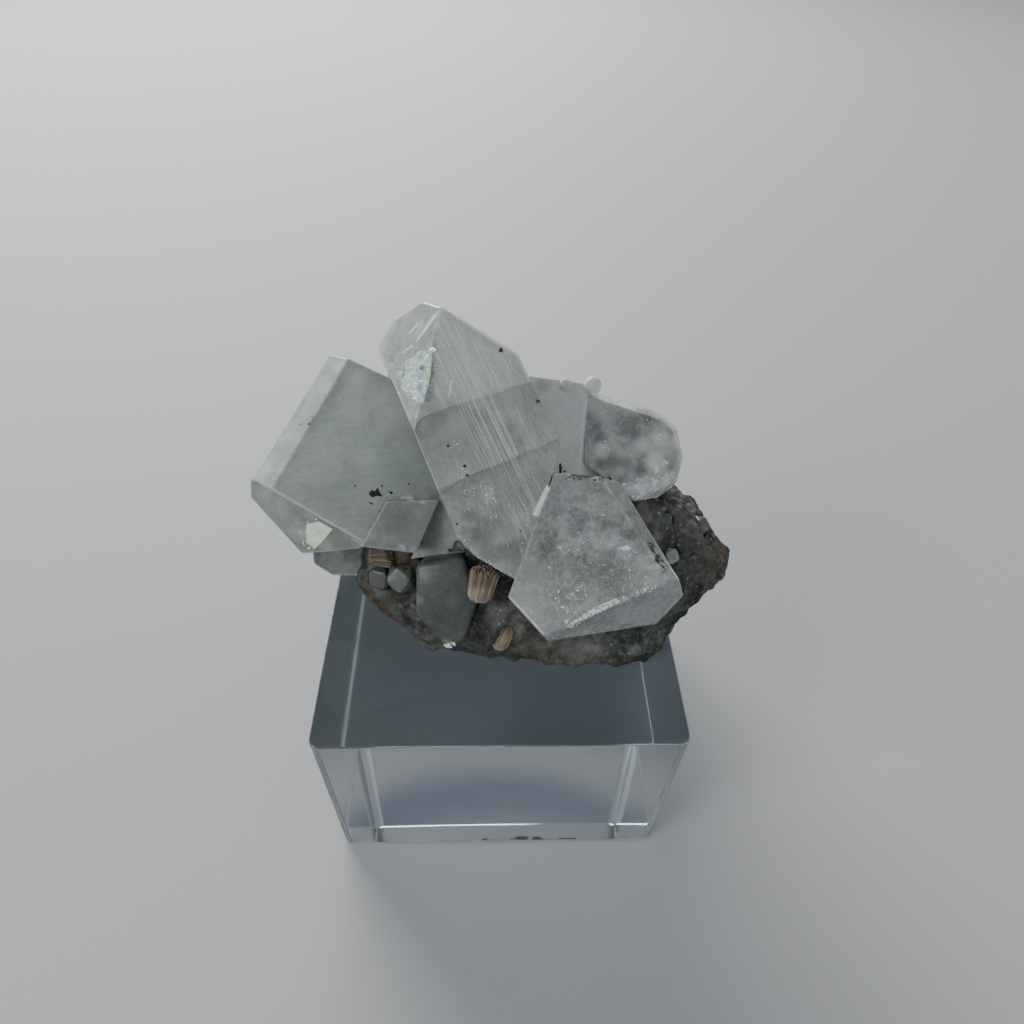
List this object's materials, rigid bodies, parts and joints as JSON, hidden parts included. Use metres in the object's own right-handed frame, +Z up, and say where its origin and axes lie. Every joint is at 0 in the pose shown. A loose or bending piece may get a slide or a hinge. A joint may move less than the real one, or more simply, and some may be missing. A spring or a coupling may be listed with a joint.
{
  "type": "apophyllite mineral specimen",
  "caption": "Cluster of blocky clear-to-milky apophyllite crystals on dark basalt with small peach stilbite sheaves, standing on a clear acrylic display block.",
  "frame": {"origin": "centre of the display block's underside, on the surface it stands on", "axes": "+X to the right of the front view, +Y to the back, +Z up; -Y is the front, the side the picture looks at from above"},
  "size_m": [0.053, 0.0382, 0.0605],
  "materials": {
    "acrylic": "clear polished acrylic",
    "basalt": "rough broken dark green-grey basalt",
    "apophyllite": "vitreous, clear to milky grey-green, striated on the long faces",
    "stilbite": "peach-tan, silky fibrous sheaves"
  },
  "bodies": {
    "root": {"acrylic_block": "acrylic", "basalt_matrix": "basalt", "apophyllite_cluster": "apophyllite", "apophyllite_lower_front": "apophyllite", "apophyllite_small_left": "apophyllite", "apophyllite_small_edge": "apophyllite", "apophyllite_small_right": "apophyllite", "apophyllite_small_side": "apophyllite", "apophyllite_small_low": "apophyllite", "stilbite_sheaf_front": "stilbite", "stilbite_sheaf_low": "stilbite", "stilbite_sheaf_left": "stilbite"}
  },
  "joints": []
}
